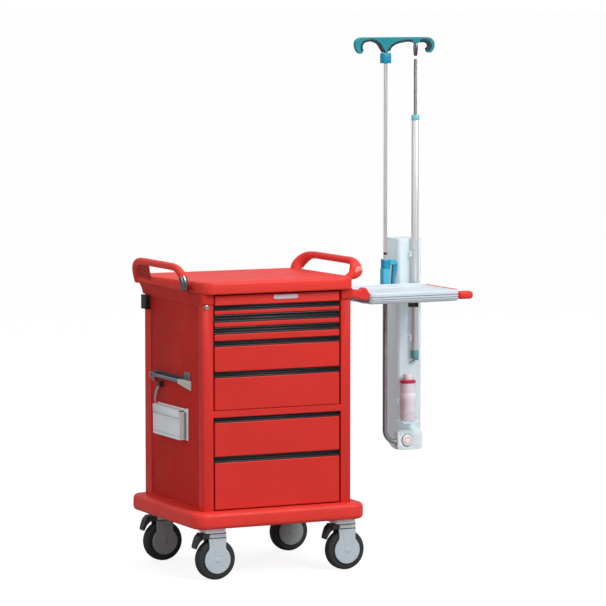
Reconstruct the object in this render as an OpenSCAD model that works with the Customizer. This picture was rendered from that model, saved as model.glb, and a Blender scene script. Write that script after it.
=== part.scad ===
/* [Cabinet] */
// Width of the cabinet across its corner posts
body_w = 600; // [560:10:640]
// Depth of the cabinet from front to back
body_d = 534; // [500:2:560]
// Height of the cabinet's lower edge above the floor
body_z = 254; // [250:1:258]
// Height of the cabinet from its lower edge to the deck
body_h = 790; // [788:1:792]
// Width of a front corner post
post_w = 43; // [38:1:46]
// Radius of the cabinet's upright corners
body_r = 12; // [6:1:14]

/* [Drawers] */
// Heights of the drawer fronts, from the bottom drawer to the top one
front_h = [172, 125, 119, 92, 25, 18, 15]; // [15:1:172]
// Heights of the finger grips above those fronts
grip_h = [21, 20, 21, 20, 25, 27, 19]; // [15:1:30]
// Height of the cross rail above the two bottom drawers
rail_h = 24; // [16:1:28]
// Height of the writing shelf's front
shelf_h = 36; // [30:1:38]
// Depth of the drawer boxes behind their fronts
box_d = 448; // [400:4:452]
// Gap around a drawer front
front_gap = 1.6; // [1:0.2:3]

/* [Base and deck] */
// How far the base bumper stands out past the cabinet's sides
base_over = 45; // [35:1:50]
// Height of the base bumper
base_h = 62; // [54:1:64]
// How far the deck stands out past the cabinet's sides
deck_over = 30; // [20:1:36]
// Thickness of the deck
deck_h = 40; // [34:1:44]
// Depth of the hollow in the deck's top
deck_dish = 8; // [4:1:12]
// Diameter of the push handle tube
handle_d = 24; // [18:1:28]

/* [Casters] */
// Diameter of the wheels
wheel_d = 150; // [140:2:150]
// Width of the wheels
wheel_w = 42; // [34:1:44]
// How far the wheel's axle trails behind the swivel axis
trail = 22; // [18:1:26]
// Distance from the cart's middle to a swivel axis, sideways
caster_x = 262; // [255:1:270]
// Distance from the cart's middle to a swivel axis, front to back
caster_y = 240; // [235:1:250]

/* [Side tray] */
// Length of the tray, away from the cart
tray_w = 376; // [300:2:380]
// Width of the tray, front to back
tray_d = 300; // [260:2:300]
// Thickness of the tray
tray_h = 33; // [28:1:35]

/* [Infusion stand] */
// Height of the top of the hook bar above the floor
hook_top = 1955; // [1900:5:1960]
// Distance of the left pole from the cart's middle
pole_x = 615; // [610:1:620]
// Distance of the right rod from the cart's middle
rod_x = 742; // [738:1:746]
// Distance of both poles behind the cart's middle
pole_y = 80; // [80:1:82]
// Diameter of the left pole
pole_d = 14; // [12:0.5:14]
// Diameter of the outer tube around the right rod
tube_d = 28; // [24:1:30]
// Height of the column's lower end above the floor
column_z = 382; // [360:1:390]

/* [Hidden] */
$fn = 64;

red = [0.84, 0.19, 0.16];
dark_red = [0.66, 0.13, 0.11];
charcoal = [0.15, 0.15, 0.17];
light_grey = [0.78, 0.80, 0.83];
mid_grey = [0.55, 0.57, 0.60];
steel = [0.66, 0.70, 0.75];
teal = [0.09, 0.60, 0.64];
blue = [0.10, 0.55, 0.74];

// Running clearance on the radius of every turning or sliding pin
run = 0.05;
half_w = body_w / 2;
half_d = body_d / 2;
body_top = body_z + body_h;
open_w = half_w - post_w;
plate_t = 4;

// Wall build-up: a hollow side wall closed by a flush-set outer panel
liner_t = 5;
panel_t = 2;
panel_set = 2.5;
panel_y0 = -half_d + 31;
panel_y1 = half_d - 66;
panel_z0 = body_z + 8;
panel_z1 = body_top - 44;
bay_back = half_d - 27;

// Drawer runners: a bar on the drawer in a grooved channel on the wall
front_t = 18;
runner_h = 14;
runner_gap = 0.6;
channel_h = 22;
channel_w = 12;
groove_w = 7;
runner_y0 = -half_d + 27;
runner_len = 440;
box_half = open_w - channel_w - 13;
front_half = open_w - 5;
shelf_z = body_top - 9 - shelf_h;
label_x = 32;

wheel_r = wheel_d / 2;
base_z = body_z - base_h;
mount_h = 17;
mount_z = base_z - mount_h;
base_w = body_w + 2 * base_over;
base_d = body_d + 2 * base_over - 4;
base_r = 50;
deck_w = body_w + 2 * deck_over;
deck_d = body_d + 2 * deck_over - 4;
deck_z = body_top;
skirt_h = 38;
skirt_t = 6;

// Side tray: the pivot line runs front to back beside the cart
tray_x = 388;
tray_y0 = -240;
tray_top = 1010;
pivot_x = 372;
pivot_z = 1003;
pivot_d = 8;

// Infusion stand
column_x = 678;
column_w = 103;
column_y = 95;
column_d = 110;
column_h = 808;
// Radius of the column's rear lower edge
foot_r = 90;
beam_y = 98;
beam_z = 966;
block_x = 664;
block_w = 106;
block_y = 68;
clamp_z = 1079;
rod_d = 12.5;
knob_z = hook_top - 98;
tube_top = 1640;
button_x = 705;
button_z = 420;
button_d = 45;
button_travel = 3;
bottle_x = 703;
bottle_y = 61;
bottle_d = 64;
bottle_z = 496;

function drawer_h(i) = front_h[len(front_h) - 1 - i] + grip_h[len(grip_h) - 1 - i];
function drawer_front(i) = front_h[len(front_h) - 1 - i];
// Height of a drawer's lower edge; drawer 0 is the top one, the rail lies above drawer 5
function drawer_z(i) = i < 0 ? shelf_z : drawer_z(i - 1) - drawer_h(i) - (i == 5 ? rail_h : 0);

// A box between two corners
module block(a, b) {
    translate(a) cube(b - a);
}

// Flat rectangle with true round corners, centred
module rounded(w, d, r) {
    square([w - 2 * r, d], center = true);
    square([w, d - 2 * r], center = true);
    for (x = [-1, 1], y = [-1, 1])
        translate([x * (w / 2 - r), y * (d / 2 - r)]) circle(r);
}

// Plate with round corners lying level
module plate(w, d, r, z, h) {
    translate([0, 0, z]) linear_extrude(h) rounded(w, d, r);
}

// Round bar along Y, from y0 to y1, through a point of the XZ plane
module bar_y(d, x, z, y0, y1) {
    translate([x, y1, z]) rotate([90, 0, 0]) cylinder(d = d, h = y1 - y0);
}

// Round bar along X
module bar_x(d, y, z, x0, x1) {
    translate([x0, y, z]) rotate([0, 90, 0]) cylinder(d = d, h = x1 - x0);
}

// Outline in the XZ plane, made solid from y0 to y1
module slab_y(y0, y1) {
    translate([0, y1, 0]) rotate([90, 0, 0]) linear_extrude(y1 - y0) children();
}

// Smooth bar through a chain of points
module chain(points, d, fn = 16) {
    for (i = [0:len(points) - 2])
        hull() {
            translate(points[i]) sphere(d = d, $fn = fn);
            translate(points[i + 1]) sphere(d = d, $fn = fn);
        }
}

module both_sides() {
    children();
    mirror([1, 0, 0]) children();
}

module cabinet_frame() color(red) {
    difference() {
        plate(body_w, body_d, body_r, body_z, body_h);
        block([-open_w, runner_y0 - 7, body_z + plate_t],
              [open_w, bay_back, body_top - plate_t]);
        block([-open_w, -half_d - 1, body_z - 1],
              [open_w, runner_y0 - 6.5, body_top - plate_t]);
        both_sides() {
            block([open_w + liner_t, -half_d + post_w, panel_z0 + 8],
                  [half_w - panel_set - panel_t + 1, panel_y1 - 10, panel_z1 - 8]);
            block([half_w - panel_set - panel_t, panel_y0, panel_z0],
                  [half_w + 1, panel_y1, panel_z1]);
        }
        block([-half_w + 60, bay_back - 1, panel_z0 + 8], [half_w - 60, half_d, panel_z1]);
        block([-half_w + 40, half_d - 3.5, panel_z0], [half_w - 40, half_d + 1, panel_z1 + 8]);
    }
    block([-open_w, -half_d, drawer_z(4) - rail_h],
          [open_w, -half_d + front_t, drawer_z(4)]);
}

module cabinet_panels() color(dark_red) {
    both_sides()
        block([half_w - panel_set - panel_t, panel_y0, panel_z0],
              [half_w - panel_set, panel_y1, panel_z1]);
    block([-half_w + 40, half_d - 3.5, panel_z0], [half_w - 40, half_d - 1.5, panel_z1 + 8]);
}

// One wall channel, at the middle height of its drawer
module channel(mid) {
    difference() {
        block([open_w - channel_w, runner_y0, mid - channel_h / 2],
              [open_w, runner_y0 + runner_len, mid + channel_h / 2]);
        block([open_w - channel_w - 1, runner_y0 - 1, mid - runner_h / 2 - runner_gap],
              [open_w - channel_w + groove_w, runner_y0 + runner_len + 1,
               mid + runner_h / 2 + runner_gap]);
    }
}

module slide_channels() color(steel) both_sides() {
    channel(shelf_z + shelf_h / 2);
    for (i = [0:6]) channel(drawer_z(i) + drawer_h(i) / 2);
}

// The pair of bars that run in the channels
module runners(mid) both_sides()
    block([box_half, runner_y0, mid - runner_h / 2],
          [open_w - channel_w + groove_w - runner_gap, runner_y0 + runner_len,
           mid + runner_h / 2]);

module drawer(i) color(red) {
    z = drawer_z(i);
    top = z + drawer_h(i) - 5;
    box_y = -half_d + front_t;
    block([-front_half, -half_d, z + front_gap],
          [front_half, box_y, z + drawer_front(i)]);
    difference() {
        block([-box_half, box_y, z + 6], [box_half, box_y + box_d, top]);
        block([-box_half + 2, box_y + 2, z + 8], [box_half - 2, box_y + box_d - 2, top + 1]);
    }
    runners(z + drawer_h(i) / 2);
}

// Black finger grip: a channel open to the front, with a lip along its lower edge
module drawer_grip(i) color(charcoal) {
    z = drawer_z(i) + drawer_front(i);
    h = drawer_h(i) - drawer_front(i);
    back = -half_d + front_t;
    difference() {
        block([-front_half, back - 15, z], [front_half, back, z + h]);
        block([-front_half - 1, back - 12, z + 4], [front_half + 1, back - 4, z + h - 3]);
        block([-front_half - 1, back - 16, z + 8], [front_half + 1, back - 4, z + h - 3]);
    }
}

module writing_shelf() color(red) {
    mid = shelf_z + shelf_h / 2;
    block([-front_half + 3, -half_d, shelf_z + front_gap],
          [front_half - 3, -half_d + 12, shelf_z + shelf_h]);
    block([-box_half, -half_d + 12, mid - 7], [box_half, -half_d + 420, mid + 7]);
    runners(mid);
}

module label_plate() color([0.80, 0.76, 0.84])
    block([label_x - 49, -half_d - 2.5, shelf_z + 16.5],
          [label_x + 49, -half_d, shelf_z + 32.5]);

module base_bumper() color(red) difference() {
    plate(base_w, base_d, base_r, base_z, base_h);
    difference() {
        plate(base_w - 28, base_d - 28, base_r - 14, base_z - 1, base_h - 23);
        for (x = [-1, 1], y = [-1, 1])
            translate([x * caster_x, y * caster_y]) plate(124, 112, 14, base_z - 2, base_h - 21);
    }
}

module deck_top() color(red) {
    difference() {
        plate(deck_w, deck_d, 68, deck_z, deck_h);
        plate(deck_w - 52, deck_d - 52, 48, deck_z + deck_h - deck_dish, deck_dish + 1);
        plate(body_w - 40, body_d - 40, 20, deck_z - 1, deck_h - deck_dish - 7);
    }
    difference() {
        plate(body_w + 2 * skirt_t, body_d + 2 * skirt_t, body_r + skirt_t,
              deck_z - skirt_h, skirt_h);
        plate(body_w, body_d, body_r, deck_z - skirt_h - 1, skirt_h + 2);
        block([-open_w, -half_d - 20, deck_z - skirt_h - 1], [open_w, -half_d + 20, deck_z]);
    }
}

module push_handles() color(red) both_sides() {
    x = deck_w / 2 + 25;
    z = deck_z + 92;
    difference() {
        union() {
            chain([[x, 160, z], [x, -130, z], [x - 3, -165, z - 14],
                   [x - 12, -206, z - 60], [x - 13, -209, z - 76]], handle_d);
            hull() {
                translate([x, 160, z]) sphere(d = handle_d, $fn = 16);
                translate([x - 4, 205, z - 14]) sphere(d = handle_d, $fn = 16);
                translate([x - 42, 222, deck_z + deck_h]) sphere(d = handle_d, $fn = 16);
                translate([x - 42, 276, deck_z + deck_h]) sphere(d = handle_d, $fn = 16);
            }
            block([deck_w / 2, -217, deck_z + 14], [deck_w / 2 + 8, -201, deck_z + 30]);
        }
        block([0, 0, deck_z - 20], [deck_w / 2 + 30, half_d + 60, deck_z + deck_h]);
    }
}

// Copies children to the four corners where the casters stand
module at_casters() for (x = [-1, 1], y = [-1, 1])
    translate([x * caster_x, y * caster_y]) children();

module caster_mounts() color(light_grey) at_casters() {
    translate([trail / 2, 0]) plate(80, 80, 12, mount_z, mount_h);
    translate([0, 0, wheel_d + 3]) cylinder(d = 16, h = mount_z - wheel_d - 3);
}

crown_z0 = wheel_d + 4;
crown_z1 = mount_z - 0.5;
crown_w = 74;
crown_x0 = trail - 38;
neck_w = 66;
pedal_x = crown_x0 - 13;
pedal_z = wheel_d + 13;
cover_t = 5.5;

module caster_fork() color(light_grey) {
    inner = wheel_w / 2 + 1.5;
    difference() {
        union() {
            translate([crown_x0 + crown_w / 2, 0])
                plate(crown_w, 2 * (inner + cover_t), 8, crown_z0, crown_z1 - crown_z0);
            for (y = [-inner - cover_t, inner]) slab_y(y, y + cover_t) {
                translate([trail, wheel_r]) circle(wheel_r * 0.64);
                translate([trail - neck_w / 2, wheel_r])
                    square([neck_w, crown_z0 + 4 - wheel_r]);
            }
            for (y = [-inner - cover_t, inner])
                block([pedal_x - 8, y, crown_z0 + 1],
                      [crown_x0 + 10, y + cover_t, crown_z1 - 3]);
        }
        translate([0, 0, crown_z0 - 1]) cylinder(d = 16 + 2 * run, h = 40);
    }
    bar_y(12, trail, wheel_r, -inner - 1, inner + 1);
    bar_y(8, pedal_x, pedal_z, -inner - 1, inner + 1);
}

module wheel() color(charcoal) difference() {
    translate([trail, 0, wheel_r]) rotate([90, 0, 0])
        rotate_extrude()
            polygon([[6 + run, -wheel_w / 2], [wheel_r - 6, -wheel_w / 2],
                     [wheel_r, -wheel_w / 2 + 5], [wheel_r, -3], [wheel_r - 4, -2],
                     [wheel_r - 4, 2], [wheel_r, 3], [wheel_r, wheel_w / 2 - 5],
                     [wheel_r - 6, wheel_w / 2], [6 + run, wheel_w / 2]]);
}

module brake_pedal() color(charcoal) difference() {
    union() {
        bar_y(15, pedal_x, pedal_z, -wheel_w / 2, wheel_w / 2);
        slab_y(-wheel_w / 2, wheel_w / 2) translate([pedal_x, pedal_z])
            polygon([[4, 7], [-12, 7], [-28, -5], [-36, -25], [-38, -41], [-31, -46],
                     [-24, -35], [-14, -21], [0, -7]]);
    }
    bar_y(8 + 2 * run, pedal_x, pedal_z, -wheel_w, wheel_w);
}

// Moves one caster's piece to its corner: sx is -1 on the left, sy is -1 at the front
module corner(sx, sy) translate([sx * caster_x, sy * caster_y]) children();

// Left side fittings hang on the side panel's outer face
panel_x = -half_w + panel_set;
rail_x = -half_w - 25;
rail_z = 717;
rail_y0 = -117;
rail_y1 = 137;
rail_d = 14;
box_y0 = -122;
box_y1 = 124;
glove_z = 500;
glove_h = 104;
glove_x = panel_x - 28.5;
lid_x = panel_x - 5.5;
lid_z = glove_z + glove_h + 6;

module rail_brackets() color(mid_grey) {
    block([panel_x - 3, rail_y0 - 43, rail_z - 14], [panel_x, 190, rail_z + 16]);
    block([panel_x - 3, rail_y0 - 43, rail_z - 32], [panel_x, rail_y0 + 20, rail_z + 34]);
    for (y = [rail_y0 - 10, rail_y1])
        block([rail_x - 9, y, rail_z - 11], [panel_x - 3, y + 10, rail_z + 11]);
}

module accessory_rail() color(steel) bar_y(rail_d, rail_x, rail_z, rail_y0, rail_y1);

module box_tether() color(steel) {
    x = panel_x - 13;
    block([panel_x - 20, 104, rail_z - 48], [panel_x - 3, 120, rail_z - 8]);
    difference() {
        chain([[x, 112, rail_z - 46], [x, 130, rail_z - 66], [x, 138, rail_z - 88],
               [x, 129, glove_z + 99]], 4);
        block([x - 9, 100, glove_z + 80], [x + 9, 150, glove_z + 100]);
    }
}

module glove_box() color(light_grey) {
    difference() {
        block([glove_x, box_y0, glove_z], [panel_x, box_y1, glove_z + glove_h]);
        block([glove_x + 2, box_y0 + 2, glove_z + 2],
              [panel_x - 2, box_y1 - 2, glove_z + glove_h + 1]);
    }
    block([panel_x - 2.5, box_y0 - 15, glove_z - 2], [panel_x, box_y0, glove_z + glove_h + 11]);
    block([panel_x - 18, box_y1, glove_z + 92], [panel_x - 8, box_y1 + 8, glove_z + 100]);
    for (y = [box_y0, box_y1 - 3])
        block([lid_x - 4, y, glove_z + glove_h], [panel_x, y + 3, lid_z + 4]);
    bar_y(3, lid_x, lid_z, box_y0, box_y1);
}

module box_lid() color(light_grey) difference() {
    union() {
        bar_y(8, lid_x, lid_z, box_y0 + 4, box_y1 - 4);
        block([glove_x - 3, box_y0 + 4, lid_z - 3], [lid_x - 2, box_y1 - 4, lid_z]);
        block([glove_x - 3, box_y0 + 4, lid_z - 31], [glove_x - 0.6, box_y1 - 4, lid_z]);
    }
    bar_y(3 + 2 * run, lid_x, lid_z, box_y0, box_y1);
}

module cable_hook() color(charcoal) difference() {
    block([-half_w - 22, half_d - 64, body_top - 92], [-half_w, half_d - 24, body_top - 39]);
    block([-half_w - 14, half_d - 65, body_top - 80], [-half_w - 6, half_d - 23, body_top - 38]);
}

// Key lock on the face of the left front post
lock_x = -half_w + 16;
lock_z = body_top - 48;

module lock_housing() color(steel) difference() {
    bar_y(17, lock_x, lock_z, -half_d - 5, -half_d);
    bar_y(12 + 2 * run, lock_x, lock_z, -half_d - 6, -half_d + 1);
}

module lock_cylinder() color(light_grey) difference() {
    bar_y(12, lock_x, lock_z, -half_d - 7, -half_d - 0.3);
    block([lock_x - 0.8, -half_d - 8, lock_z - 4], [lock_x + 0.8, -half_d - 3, lock_z + 4]);
}

module outrigger_beam() color(mid_grey) {
    block([half_w - panel_set, beam_y - 10, panel_z1 - 45],
          [half_w + 4, beam_y + 40, panel_z1 - 1]);
    difference() {
        block([half_w + 3, beam_y, beam_z], [column_x, beam_y + 30, beam_z + 32]);
        block([half_w + 6, beam_y + 3, beam_z + 3], [column_x + 1, beam_y + 27, beam_z + 29]);
    }
}

// The two red arms that carry the tray's pivot pin
module tray_bracket() color(red) {
    for (y = [tray_y0 - 10, tray_y0 + tray_d - 28])
        slab_y(y, y + 28) {
            polygon([[half_w + skirt_t, body_top - 36], [half_w + skirt_t, body_top - 10],
                     [half_w + 42, body_top - 3], [half_w + 60, body_top - 8],
                     [pivot_x + 8, pivot_z + 9], [pivot_x + 8, pivot_z - 8],
                     [pivot_x - 12, pivot_z - 12], [half_w + 40, pivot_z - 2]]);
            translate([pivot_x, pivot_z]) circle(12);
        }
    bar_y(pivot_d, pivot_x, pivot_z, tray_y0 + 17, tray_y0 + tray_d - 27);
}

latch_x = 598;
latch_y = -165;

module side_tray() color(light_grey) {
    z = tray_top - tray_h;
    knuckle_y0 = tray_y0 + 19;
    knuckle_y1 = tray_y0 + tray_d - 29;
    difference() {
        union() {
            translate([tray_x + tray_w / 2, tray_y0 + tray_d / 2])
                plate(tray_w, tray_d, 14, z, tray_h);
            bar_y(20, pivot_x, pivot_z, knuckle_y0, knuckle_y1);
            block([pivot_x, knuckle_y0, pivot_z - 7], [tray_x + 20, knuckle_y1, tray_top]);
        }
        translate([tray_x + tray_w / 2, tray_y0 + tray_d / 2])
            plate(tray_w - 16, tray_d - 16, 8, z - 1, tray_h - 6);
        bar_y(pivot_d + 2 * run, pivot_x, pivot_z, knuckle_y0 - 1, knuckle_y1 + 1);
    }
    block([tray_x + 8, tray_y0 + tray_d - 12, tray_top - 1],
          [tray_x + tray_w - 8, tray_y0 + tray_d - 2, tray_top + 12]);
    difference() {
        block([latch_x - 40, tray_y0 + 7, z], [latch_x + 60, latch_y + 34, z + 8]);
        block([latch_x + 6, latch_y + 8.5, z - 1], [latch_x + 38, latch_y + 16.5, z + 9]);
    }
}

module tray_latch() color(charcoal) {
    z = tray_top - tray_h;
    block([latch_x, latch_y, z - 24], [latch_x + 32, latch_y + 25, z - 0.5]);
    block([latch_x + 7, latch_y + 9, z - 0.5], [latch_x + 19, latch_y + 16, z + 8.5]);
    block([latch_x + 3, latch_y + 5, z + 8.5], [latch_x + 23, latch_y + 20, z + 12]);
}

// Red bumpers on the tray's two outer corners, each with a lug along the tray's end
module tray_grips() color(red) {
    x = tray_x + tray_w;
    for (y = [tray_y0, tray_y0 + tray_d - 44])
        translate([x + 28, y + 22]) plate(56, 44, 12, tray_top - 27, 30);
    block([x, tray_y0 + 30, tray_top - 14], [x + 10, tray_y0 + tray_d - 30, tray_top - 2]);
}

module column_housing() color(light_grey) {
    mid_x = column_x + column_w / 2;
    mid_y = column_y + column_d / 2;
    back = column_y + column_d;
    difference() {
        translate([mid_x, mid_y]) plate(column_w, column_d, 14, column_z, column_h);
        translate([mid_x, mid_y])
            plate(column_w - 6, column_d - 6, 11, column_z + foot_r + 8, column_h - foot_r - 11);
        block([mid_x - 18, back - 5, column_z + 140], [mid_x + 18, back + 1, column_z + 760]);
        difference() {
            block([column_x - 1, back - foot_r, column_z - 1],
                  [column_x + column_w + 1, back + 1, column_z + foot_r]);
            bar_x(2 * foot_r, back - foot_r, column_z + foot_r, column_x - 2,
                  column_x + column_w + 2);
        }
    }
    difference() {
        for (z = [800, 1120])
            block([rod_x - 20, pole_y, z], [rod_x + 20, column_y + 1, z + 22]);
        translate([rod_x, pole_y]) cylinder(d = tube_d, h = 1300);
    }
    difference() {
        union() {
            block([bottle_x - 35, bottle_y - 33, bottle_z - 7],
                  [bottle_x + 35, column_y + 1, bottle_z - 0.5]);
            block([bottle_x - 35, bottle_y + 14, bottle_z + 66],
                  [bottle_x + 35, column_y + 1, bottle_z + 82]);
        }
        translate([bottle_x, bottle_y, bottle_z + 60]) cylinder(d = bottle_d + 1, h = 40);
        block([bottle_x - 36, column_y + 0.5, bottle_z - 9],
              [column_x, column_y + 2, bottle_z + 90]);
    }
}

module button_block() color(light_grey) difference() {
    slab_y(block_y, column_y)
        translate([block_x + block_w / 2, column_z + 40]) rounded(block_w, 78, 14);
    bar_y(button_d + 0.4, button_x, button_z, block_y - 1, block_y + 12);
}

module call_button() color("white")
    bar_y(button_d, button_x, button_z, block_y - 6, block_y + 12 - button_travel - 1);

// Wall of the stand's curved tube
module tube_wall(d) {
    difference() {
        circle(d = d);
        circle(d = d - 3.4);
    }
}

module frame_tube() color(mid_grey) {
    bend = block_x - pole_x;
    bend_z = button_z - 5 + bend;
    translate([pole_x, pole_y, bend_z]) linear_extrude(beam_z - bend_z) tube_wall(18);
    translate([block_x, pole_y, bend_z]) rotate([90, 0, 0]) rotate([0, 0, 180])
        rotate_extrude(angle = 90) translate([bend, 0]) tube_wall(18);
}

module outer_tube() color(light_grey) difference() {
    union() {
        translate([rod_x, pole_y, 740]) cylinder(d = tube_d, h = tube_top - 740);
        translate([rod_x, pole_y, 726]) cylinder(d = tube_d - 6, h = 20);
    }
    translate([rod_x, pole_y, 760]) cylinder(d = rod_d + 2 * run, h = 1000);
}

module pole_clamp() color(teal) difference() {
    union() {
        block([pole_x - 17, pole_y - 16, clamp_z], [pole_x + 25, pole_y + 16, clamp_z + 36]);
        block([pole_x - 15, pole_y - 15, beam_z], [pole_x + 15, beam_y, clamp_z]);
        for (y = [pole_y - 14, pole_y + 9])
            block([pole_x + 24, y, clamp_z + 16], [pole_x + 42, y + 5, clamp_z + 34]);
    }
    translate([pole_x, pole_y, beam_z - 1]) cylinder(d = pole_d + 2 * run, h = 200);
    bar_y(5, pole_x + 35, clamp_z + 25, pole_y - 20, pole_y + 20);
}

module clamp_lever() color(teal) {
    x = pole_x + 35;
    z = clamp_z + 25;
    bar_y(5 - 2 * run, x, z, pole_y - 14, pole_y + 14);
    bar_y(15, x, z, pole_y - 8, pole_y + 8);
    slab_y(pole_y - 8, pole_y + 8)
        polygon([[x - 5, z - 4], [x + 5, z + 5], [x + 13, z - 14], [x + 9, z - 34],
                 [x - 1, z - 78], [x - 9, z - 80], [x - 6, z - 40]]);
}

module bottle() color([0.90, 0.88, 0.88])
    translate([bottle_x, bottle_y, bottle_z]) rotate_extrude()
        polygon([[0, 0], [bottle_d / 2 - 3, 0], [bottle_d / 2, 4], [bottle_d / 2, 132],
                 [24, 148], [20, 154], [20, 158], [18.5, 158], [18.5, 180], [0, 180]]);

// Centre line of the hook bar, from the tip of the left hook to the tip of the right one
hook_line = [[-109, -52], [-122, -34], [-123, -20], [-110, -9], [-80, -6.5], [0, -6],
             [150, -6], [186, -10], [196, -24], [190, -44], [178, -48]];
// Thickness of the hook bar along that line
hook_thick = [12, 15, 17, 15, 12, 13, 12, 14, 16, 15, 12];

module hook_bar() color(teal) translate([pole_x, 0, hook_top]) slab_y(pole_y - 9, pole_y + 9) {
    for (i = [0:len(hook_line) - 2])
        hull() {
            translate(hook_line[i]) circle(d = hook_thick[i], $fn = 20);
            translate(hook_line[i + 1]) circle(d = hook_thick[i + 1], $fn = 20);
        }
    polygon([[-52, -5], [-40, -14], [-28, -26], [-17, -44], [-8, -58], [8, -58],
             [14, -40], [26, -26], [44, -18], [80, -10], [100, -5]]);
    translate([rod_x - pole_x, 0]) polygon([[-22, -8], [-10, -24], [10, -24], [20, -8]]);
}

module hook_knob() color(blue) translate([pole_x, pole_y, knob_z]) difference() {
    union() {
        for (x = [-9, 9]) translate([x, 0, 0]) cylinder(d = 26, h = 39.5);
        cylinder(d = 24, h = 39.5);
    }
    translate([0, 0, -1]) cylinder(d = pole_d + 2 * run, h = 60);
}

module inner_poles() color(steel) {
    translate([pole_x, pole_y, 760]) cylinder(d = pole_d, h = hook_top - 58 - 760);
    translate([rod_x, pole_y, 1010]) cylinder(d = rod_d, h = hook_top - 24 - 1010);
    translate([rod_x, pole_y, hook_top - 62]) cylinder(d = 17, h = 38);
}

module tube_collar() color(teal) translate([rod_x, pole_y, 0]) difference() {
    translate([0, 0, tube_top - 8]) cylinder(d = tube_d + 6, h = 29);
    translate([0, 0, tube_top - 9]) cylinder(d = tube_d + 2 * run, h = 9.5);
    translate([0, 0, tube_top - 9]) cylinder(d = rod_d + 2 * run, h = 60);
}

cabinet_frame();
cabinet_panels();
slide_channels();
base_bumper();
deck_top();
push_handles();
caster_mounts();
cable_hook();
rail_brackets();
accessory_rail();
box_tether();
glove_box();
box_lid();
lock_housing();
lock_cylinder();
outrigger_beam();
tray_bracket();
side_tray();
tray_grips();
tray_latch();
column_housing();
button_block();
frame_tube();
outer_tube();
pole_clamp();
clamp_lever();
call_button();
bottle();
hook_bar();
hook_knob();
inner_poles();
tube_collar();
writing_shelf();
label_plate();
drawer(0);  // drawer_1
drawer(1);  // drawer_2
drawer(2);  // drawer_3
drawer(3);  // drawer_4
drawer(4);  // drawer_5
drawer(5);  // drawer_6
drawer(6);  // drawer_7
drawer_grip(0);  // drawer_grip_1
drawer_grip(1);  // drawer_grip_2
drawer_grip(2);  // drawer_grip_3
drawer_grip(3);  // drawer_grip_4
drawer_grip(4);  // drawer_grip_5
drawer_grip(5);  // drawer_grip_6
drawer_grip(6);  // drawer_grip_7
corner(-1, -1) caster_fork();  // caster_fork_fl
corner(1, -1) caster_fork();  // caster_fork_fr
corner(-1, 1) caster_fork();  // caster_fork_rl
corner(1, 1) caster_fork();  // caster_fork_rr
corner(-1, -1) wheel();  // wheel_fl
corner(1, -1) wheel();  // wheel_fr
corner(-1, 1) wheel();  // wheel_rl
corner(1, 1) wheel();  // wheel_rr
corner(-1, -1) brake_pedal();  // brake_pedal_fl
corner(1, -1) brake_pedal();  // brake_pedal_fr
corner(-1, 1) brake_pedal();  // brake_pedal_rl
corner(1, 1) brake_pedal();  // brake_pedal_rr
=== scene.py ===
"""Looks of a hospital crash cart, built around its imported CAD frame.

Shapes are written in millimetres, in the CAD frame; make() turns them into metres.
"""

import math

import bmesh
import bpy
from mathutils import Matrix, Vector

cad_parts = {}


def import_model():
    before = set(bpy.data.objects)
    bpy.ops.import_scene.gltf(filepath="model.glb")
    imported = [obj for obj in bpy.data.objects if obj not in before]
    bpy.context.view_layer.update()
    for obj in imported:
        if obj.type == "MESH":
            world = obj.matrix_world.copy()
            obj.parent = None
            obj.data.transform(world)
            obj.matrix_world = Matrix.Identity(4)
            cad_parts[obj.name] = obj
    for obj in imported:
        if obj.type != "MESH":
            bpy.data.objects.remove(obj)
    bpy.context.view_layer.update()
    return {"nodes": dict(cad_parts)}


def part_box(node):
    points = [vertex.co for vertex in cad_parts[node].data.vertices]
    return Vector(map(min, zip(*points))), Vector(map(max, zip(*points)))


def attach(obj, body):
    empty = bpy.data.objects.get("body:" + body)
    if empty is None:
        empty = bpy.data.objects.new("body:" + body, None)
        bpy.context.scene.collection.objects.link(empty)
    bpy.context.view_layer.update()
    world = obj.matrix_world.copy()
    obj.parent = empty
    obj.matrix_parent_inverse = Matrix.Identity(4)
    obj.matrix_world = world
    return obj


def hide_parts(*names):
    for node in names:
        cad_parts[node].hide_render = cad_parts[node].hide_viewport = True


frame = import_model()

MM = 0.001
SIDES = {"left": -1, "right": 1}


# ---------------- materials

MATERIALS = {}
ALONG_Y, ALONG_Z = (1, 0.02, 1), (1, 1, 0.02)


def new_material(name):
    """Adds a node material to MATERIALS. Returns its node tree and its Principled shader."""
    material = bpy.data.materials.new(name)
    MATERIALS[name] = material
    material.use_nodes = True
    tree = material.node_tree
    return tree, tree.nodes["Principled BSDF"]


def noise(tree, scale, detail=3.0, rough=0.5, stretch=(1, 1, 1)):
    """Noise in object space, 0 to 1. stretch squeezes it along an axis, for brushed metal."""
    coords = tree.nodes.new("ShaderNodeTexCoord")
    mapping = tree.nodes.new("ShaderNodeMapping")
    mapping.inputs["Scale"].default_value = stretch
    texture = tree.nodes.new("ShaderNodeTexNoise")
    texture.inputs["Scale"].default_value = scale
    texture.inputs["Detail"].default_value = detail
    texture.inputs["Roughness"].default_value = rough
    tree.links.new(coords.outputs["Object"], mapping.inputs["Vector"])
    tree.links.new(mapping.outputs["Vector"], texture.inputs["Vector"])
    return texture.outputs["Fac"]


def ramp(tree, source, low, high, start=0.35, end=0.65):
    """Maps a 0 to 1 source onto a colour or grey ramp."""
    node = tree.nodes.new("ShaderNodeValToRGB")
    node.color_ramp.elements[0].position = start
    node.color_ramp.elements[1].position = end
    node.color_ramp.elements[0].color = low
    node.color_ramp.elements[1].color = high
    tree.links.new(source, node.inputs["Fac"])
    return node.outputs["Color"]


def grey(value):
    return (value, value, value, 1.0)


def shade(color, factor):
    return tuple(min(1.0, c * factor) for c in color[:3]) + (1.0,)


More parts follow.
